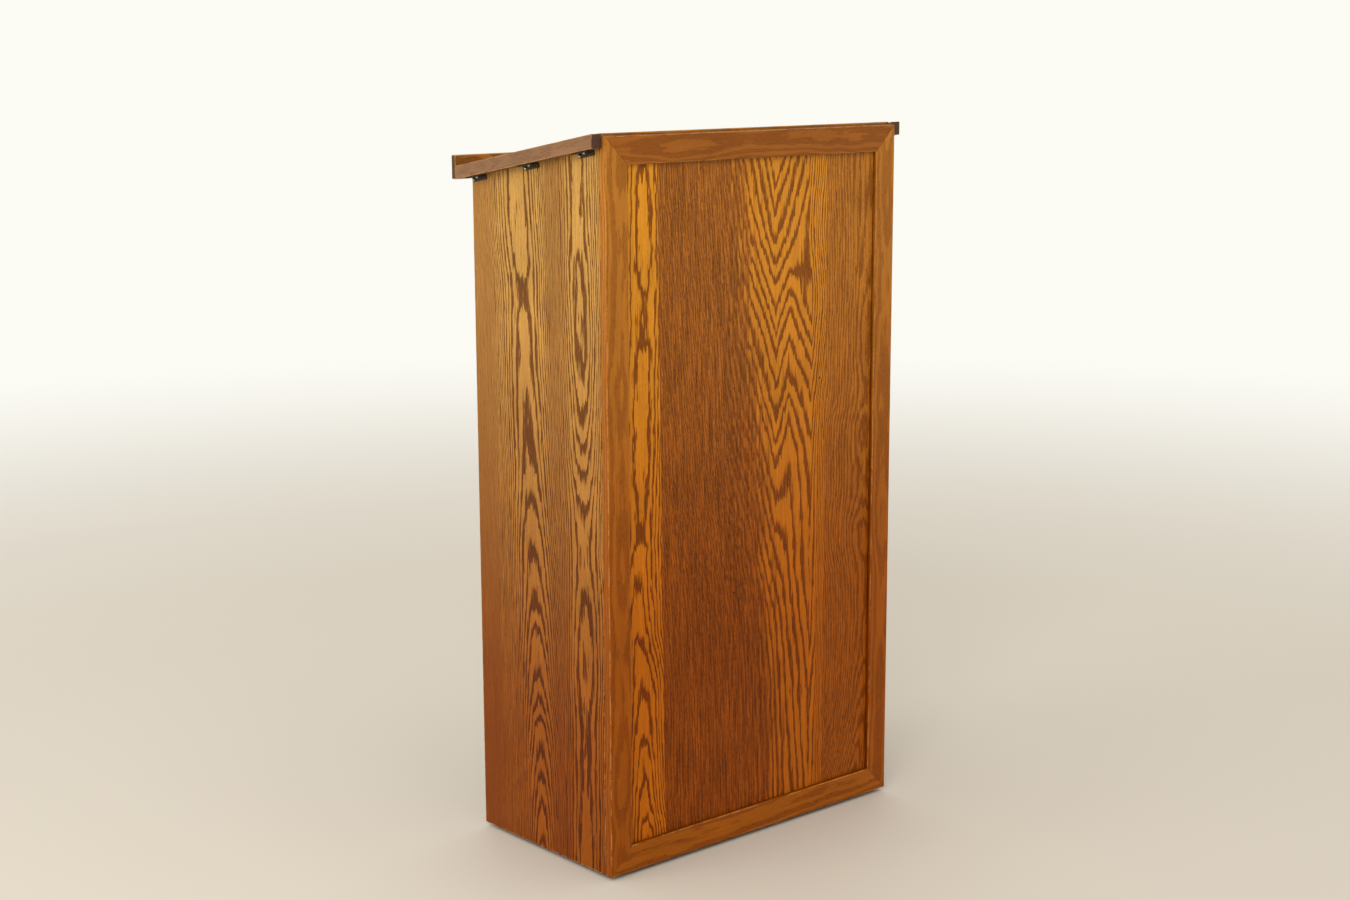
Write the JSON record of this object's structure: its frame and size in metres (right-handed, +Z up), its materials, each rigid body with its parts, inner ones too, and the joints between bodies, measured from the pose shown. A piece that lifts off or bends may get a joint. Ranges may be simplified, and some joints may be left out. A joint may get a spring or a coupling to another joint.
{
  "type": "presentation lectern",
  "caption": "Free-standing oak lectern: framed veneer front, plain sides, sloping desk with side rails and a book stop, open back with shelves.",
  "frame": {"origin": "on the floor under the middle of the footprint", "axes": "+Z up; -Y is the side that the audience sees, +Y is the open side where the speaker stands; +X is to the right for someone who looks at the front"},
  "size_m": [0.6486, 0.3556, 1.141],
  "materials": {
    "side_veneer": "golden oak stain on flat-sawn veneer, satin lacquer",
    "front_veneer": "red-brown oak stain on mixed veneer leaves, satin lacquer",
    "frame_oak": "brown oak stain on solid oak, satin lacquer, worn edges",
    "desk_oak": "brown oak stain on solid oak, satin lacquer, dark end grain, worn edges",
    "shelf_oak": "golden oak stain, thinner satin lacquer",
    "block_wood": "bare softwood",
    "bronzed_steel": "dark bronze lacquer on pressed steel",
    "screw_steel": "plated, dulled, bright on the crown",
    "brass": "plain turned brass, dulled",
    "glide_plastic": "dark brown moulded, scuffed underneath"
  },
  "bodies": {
    "cabinet": {"left_side_panel": "side_veneer", "right_side_panel": "side_veneer", "front_panel": "front_veneer", "frame_top_rail": "frame_oak", "frame_bottom_rail": "frame_oak", "frame_left_stile": "frame_oak", "frame_right_stile": "frame_oak", "desk_board": "desk_oak", "desk_rail_left": "desk_oak", "desk_rail_right": "desk_oak", "book_stop": "desk_oak", "bottom_board": "shelf_oak", "fixed_shelf": "shelf_oak", "rear_top_rail": "shelf_oak", "rear_toe_rail": "shelf_oak", "shelf_pin_left_front": "brass", "shelf_pin_left_rear": "brass", "shelf_pin_right_front": "brass", "shelf_pin_right_rear": "brass", "corner_block_left_front": "block_wood", "corner_block_left_rear": "block_wood", "corner_block_right_front": "block_wood", "corner_block_right_rear": "block_wood", "glide_left_front": "glide_plastic", "glide_left_rear": "glide_plastic", "glide_right_front": "glide_plastic", "glide_right_rear": "glide_plastic", "fixing_angle_left_1": "bronzed_steel", "fixing_angle_left_2": "bronzed_steel", "fixing_angle_left_3": "bronzed_steel", "fixing_angle_right_1": "bronzed_steel", "fixing_angle_right_2": "bronzed_steel", "fixing_angle_right_3": "bronzed_steel", "side_screw_left_1": "screw_steel", "side_screw_left_2": "screw_steel", "side_screw_left_3": "screw_steel", "side_screw_right_1": "screw_steel", "side_screw_right_2": "screw_steel", "side_screw_right_3": "screw_steel", "foot_screw_left_1": "screw_steel", "foot_screw_left_2": "screw_steel", "foot_screw_left_3": "screw_steel", "foot_screw_right_1": "screw_steel", "foot_screw_right_2": "screw_steel", "foot_screw_right_3": "screw_steel"},
    "shelf": {"loose_shelf": "shelf_oak"}
  },
  "joints": [
    {"name": "shelf_slide", "type": "slide", "parent": "cabinet", "child": "shelf", "axis": [0, 1, 0], "range_m": [0, 0.1]}
  ]
}
